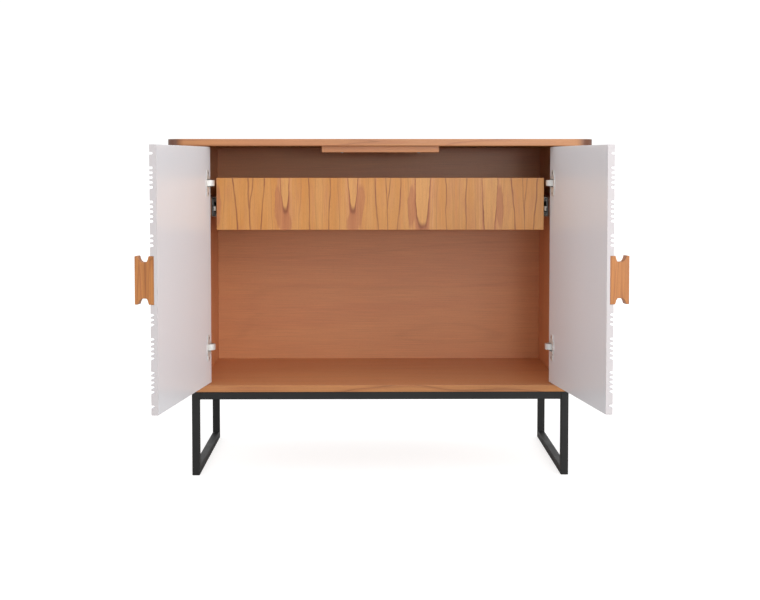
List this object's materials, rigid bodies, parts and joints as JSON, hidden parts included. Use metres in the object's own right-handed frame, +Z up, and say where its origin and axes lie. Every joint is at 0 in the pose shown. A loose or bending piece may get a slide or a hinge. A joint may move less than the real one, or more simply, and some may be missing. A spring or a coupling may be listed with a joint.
{
  "type": "sideboard buffet",
  "caption": "Low two-door sideboard in warm veneer with white fluted doors, waisted wooden handles, an inner drawer on runners and a black square-tube sled base.",
  "frame": {"origin": "middle of the floor area that the part covers at rest, with its doors open, at floor height", "axes": "+Z up, +X towards the right-hand door as seen from the front, -Y out of the front, where the doors open and the drawer comes out"},
  "size_m": [1.017, 0.8432, 0.792],
  "materials": {
    "veneer": "warm brown oak-like veneer, satin lacquer",
    "drawer_veneer": "golden veneer with dark vertical cathedral grain, satin lacquer",
    "drawer_wood": "clear-lacquered light wood",
    "batten_wood": "brown stained wood",
    "handle_wood": "solid wood, satin oil",
    "lacquer": "satin white lacquer on fluted board",
    "steel_base": "matt black powder coat",
    "hinge_nickel": "bright nickel-plated pressed steel",
    "hinge_pin": "turned steel pin",
    "runner_zinc": "zinc-plated rolled steel",
    "screw_zinc": "zinc-plated screw",
    "buffer_plastic": "white moulded plastic",
    "lever_plastic": "black moulded plastic"
  },
  "bodies": {
    "cabinet": {"top_board": "veneer", "bottom_board": "veneer", "back_panel": "veneer", "door_stop_cleat": "veneer", "front_rail": "steel_base", "back_rail": "steel_base", "left_side_panel": "veneer", "left_front_leg": "steel_base", "left_back_leg": "steel_base", "left_floor_rail": "steel_base", "left_top_rail": "steel_base", "left_cleat_screw": "screw_zinc", "left_front_base_screw": "screw_zinc", "left_back_base_screw": "screw_zinc", "left_upper_hinge_arm": "hinge_nickel", "left_upper_hinge_plate": "hinge_nickel", "left_lower_hinge_arm": "hinge_nickel", "left_lower_hinge_plate": "hinge_nickel", "left_runner_batten": "batten_wood", "left_runner_outer": "runner_zinc", "right_side_panel": "veneer", "right_front_leg": "steel_base", "right_back_leg": "steel_base", "right_floor_rail": "steel_base", "right_top_rail": "steel_base", "right_cleat_screw": "screw_zinc", "right_front_base_screw": "screw_zinc", "right_back_base_screw": "screw_zinc", "right_upper_hinge_arm": "hinge_nickel", "right_upper_hinge_plate": "hinge_nickel", "right_lower_hinge_arm": "hinge_nickel", "right_lower_hinge_plate": "hinge_nickel", "right_runner_batten": "batten_wood", "right_runner_outer": "runner_zinc"},
    "left_door": {"left_door_panel": "lacquer", "left_handle": "handle_wood", "left_upper_hinge_cup": "hinge_nickel", "left_upper_hinge_pin": "hinge_pin", "left_lower_hinge_cup": "hinge_nickel", "left_lower_hinge_pin": "hinge_pin"},
    "right_door": {"right_door_panel": "lacquer", "right_handle": "handle_wood", "right_upper_hinge_cup": "hinge_nickel", "right_upper_hinge_pin": "hinge_pin", "right_lower_hinge_cup": "hinge_nickel", "right_lower_hinge_pin": "hinge_pin"},
    "drawer": {"drawer_front": "drawer_veneer", "drawer_left_side": "drawer_wood", "drawer_right_side": "drawer_wood", "drawer_back": "drawer_wood", "drawer_bottom": "drawer_wood", "left_runner_inner": "runner_zinc", "right_runner_inner": "runner_zinc"},
    "left_runner_middle": {"left_runner_middle": "runner_zinc", "left_runner_buffer": "buffer_plastic"},
    "left_release_lever": {"left_release_lever": "lever_plastic"},
    "right_runner_middle": {"right_runner_middle": "runner_zinc", "right_runner_buffer": "buffer_plastic"},
    "right_release_lever": {"right_release_lever": "lever_plastic"}
  },
  "joints": [
    {"name": "left_door_hinge", "type": "hinge", "parent": "cabinet", "child": "left_door", "pos_m": [-0.4085, -0.01741, 0.4955], "axis": [0, 0, -1], "range_deg": [-98.2, 9.8]},
    {"name": "right_door_hinge", "type": "hinge", "parent": "cabinet", "child": "right_door", "pos_m": [0.4085, -0.01741, 0.4955], "axis": [0, 0, 1], "range_deg": [-98.2, 9.8]},
    {"name": "drawer_slide", "type": "slide", "parent": "cabinet", "child": "drawer", "axis": [0, -1, 0], "range_m": [0, 0.34]},
    {"name": "left_runner_middle_slide", "type": "slide", "parent": "cabinet", "child": "left_runner_middle", "axis": [0, -1, 0], "range_m": [0, 0.17]},
    {"name": "right_runner_middle_slide", "type": "slide", "parent": "cabinet", "child": "right_runner_middle", "axis": [0, -1, 0], "range_m": [0, 0.17]},
    {"name": "left_release_lever_pivot", "type": "hinge", "parent": "drawer", "child": "left_release_lever", "pos_m": [-0.3915, 0.26259, 0.632], "axis": [1, 0, 0], "range_deg": [0, 8], "stiffness_Nm_per_rad": 0.05},
    {"name": "right_release_lever_pivot", "type": "hinge", "parent": "drawer", "child": "right_release_lever", "pos_m": [0.3915, 0.26259, 0.632], "axis": [-1, 0, 0], "range_deg": [0, 8], "stiffness_Nm_per_rad": 0.05}
  ],
  "couplings": [
    {"joint": "left_runner_middle_slide", "follows": "drawer_slide", "ratio": 0.5},
    {"joint": "right_runner_middle_slide", "follows": "drawer_slide", "ratio": 0.5}
  ]
}
